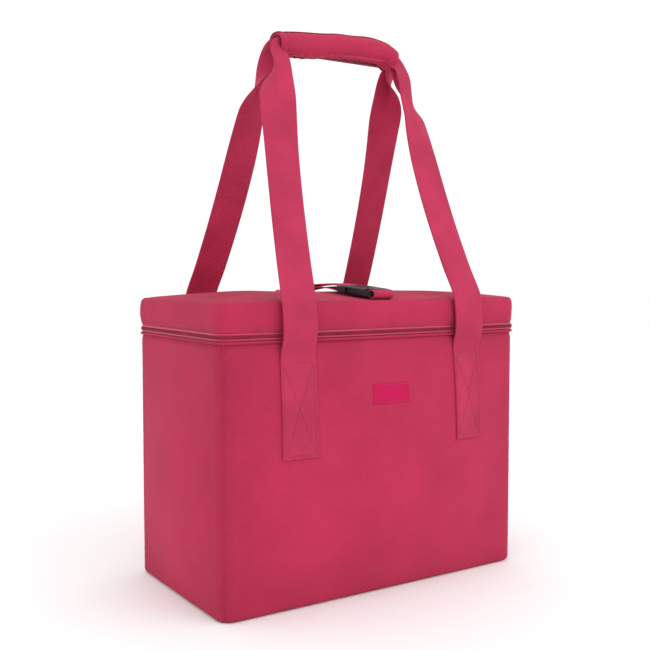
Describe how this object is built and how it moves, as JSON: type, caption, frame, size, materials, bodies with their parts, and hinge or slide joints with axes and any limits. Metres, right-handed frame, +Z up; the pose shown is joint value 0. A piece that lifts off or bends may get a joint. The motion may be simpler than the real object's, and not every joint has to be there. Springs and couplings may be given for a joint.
{
  "type": "insulated cooler bag",
  "caption": "Upright insulated tote with a zipped, hinged padded lid, two webbing handles joined by a wrapped grip, and a buckled strap on the lid.",
  "frame": {"origin": "middle of the base, on the surface the bag stands on", "axes": "+Z up, front of the bag faces -Y, +X to the right seen from the front"},
  "size_m": [0.398, 0.239, 0.5982],
  "materials": {
    "outer_fabric": "fine plain weave polyester, slight sheen",
    "webbing": "ribbed woven webbing",
    "binding": "folded tape",
    "zip_tape": "woven zip tape",
    "zip_coil": "nylon coil",
    "zip_metal": "lacquered to match the fabric",
    "foam": "closed-cell foam",
    "gel": "sealed gel pack",
    "liner_film": "wipe-clean coated film",
    "board": "stiff sheet",
    "label": "soft moulded patch",
    "buckle_plastic": "satin moulded acetal",
    "hook_and_loop": "hook and loop tape"
  },
  "bodies": {
    "bag_body": {"front_panel": "outer_fabric", "back_panel": "outer_fabric", "left_panel": "outer_fabric", "right_panel": "outer_fabric", "base_panel": "outer_fabric", "front_foam": "foam", "back_foam": "foam", "left_foam": "foam", "right_foam": "foam", "base_foam": "foam", "base_board": "board", "front_gel_panel": "gel", "back_gel_panel": "gel", "left_gel_panel": "gel", "right_gel_panel": "gel", "liner": "liner_film", "mouth_binding": "binding", "mouth_piping": "binding", "lower_zip_tape": "zip_tape", "lower_zip_coil": "zip_coil", "zip_stops": "zip_metal", "label_patch": "label", "hinge_strip": "outer_fabric", "front_strap_ends": "webbing", "back_strap_ends": "webbing"},
    "lid": {"lid_top": "outer_fabric", "lid_skirt": "outer_fabric", "lid_foam": "foam", "lid_rim_foam": "foam", "lid_liner": "liner_film", "lid_binding": "binding", "upper_zip_tape": "zip_tape", "upper_zip_coil": "zip_coil", "buckle_loop": "webbing", "buckle_male": "buckle_plastic", "lid_strap": "webbing"},
    "front_handle": {"front_handle_webbing": "webbing", "grip_pad": "foam", "grip_cover": "outer_fabric", "loop_tape": "hook_and_loop"},
    "back_handle": {"back_handle_webbing": "webbing"},
    "grip_flap": {"grip_flap": "outer_fabric", "hook_tape": "hook_and_loop"},
    "zip_slider": {"zip_slider": "zip_metal"},
    "zip_pull": {"zip_pull": "zip_metal"},
    "buckle_female": {"buckle_female": "buckle_plastic"}
  },
  "joints": [
    {"name": "lid_hinge", "type": "hinge", "parent": "bag_body", "child": "lid", "pos_m": [0, 0.106, 0.2729], "axis": [-1, 0, 0], "range_deg": [0, 100], "deforming": ["hinge_strip", "grip_flap"]},
    {"name": "front_handle_swing", "type": "hinge", "parent": "bag_body", "child": "front_handle", "pos_m": [0, -0.1095, 0.2525], "axis": [1, 0, 0], "range_deg": [0, 150]},
    {"name": "back_handle_swing", "type": "hinge", "parent": "bag_body", "child": "back_handle", "pos_m": [0, 0.1095, 0.2525], "axis": [-1, 0, 0], "range_deg": [0, 150]},
    {"name": "grip_flap_open", "type": "hinge", "parent": "front_handle", "child": "grip_flap", "pos_m": [0, -0.00256, 0.59754], "axis": [1, 0, 0], "range_deg": [0, 110]},
    {"name": "zip_slide", "type": "slide", "parent": "bag_body", "child": "zip_slider", "axis": [0, -1, 0], "range_m": [0, 0.13]},
    {"name": "zip_pull_swing", "type": "hinge", "parent": "zip_slider", "child": "zip_pull", "pos_m": [0.1941, 0.0735, 0.2729], "axis": [0, -1, 0], "range_deg": [0, 165]},
    {"name": "buckle_release", "type": "slide", "parent": "lid", "child": "buckle_female", "axis": [0, 0.9967, 0.0817], "range_m": [0, 0.024], "deforming": ["lid_strap"]}
  ],
  "couplings": [
    {"joint": "front_handle_swing", "follows": "lid_hinge", "ratio": 1.5},
    {"joint": "back_handle_swing", "follows": "lid_hinge", "ratio": 1.5}
  ]
}
